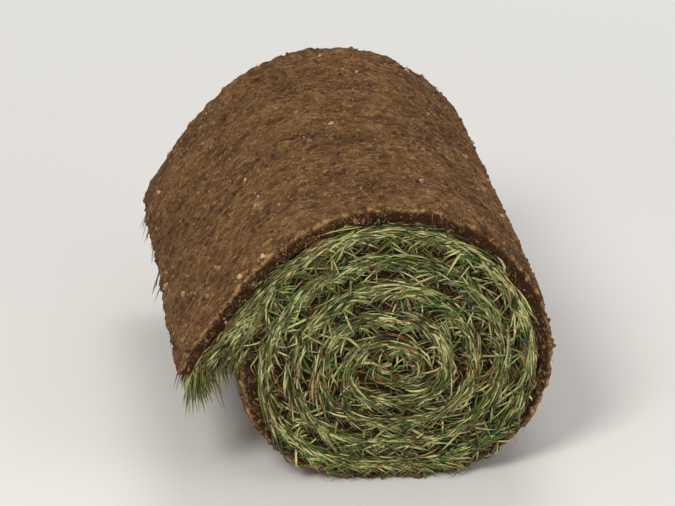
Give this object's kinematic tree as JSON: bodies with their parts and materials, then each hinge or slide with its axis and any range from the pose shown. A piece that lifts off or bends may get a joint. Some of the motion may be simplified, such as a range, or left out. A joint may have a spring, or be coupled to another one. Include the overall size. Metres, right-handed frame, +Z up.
{
  "type": "roll of turf",
  "caption": "Strip of cut lawn rolled up grass side in, lying on its side: brown root mat outside, grass showing between the turns on both ends, and a loose outer end",
  "frame": {"origin": "middle of the roll's footprint, on the floor that it lies on", "axes": "+Y along the roll, from the front end at -Y to the back end; +Z up; +X to the right as seen from the front end. The strip's loose outer end is at -X"},
  "size_m": [0.3029, 0.4, 0.2372],
  "materials": {
    "root_mat": "matte",
    "grass": "matte"
  },
  "bodies": {
    "root": {"turf_roll": "root_mat"}
  },
  "joints": []
}
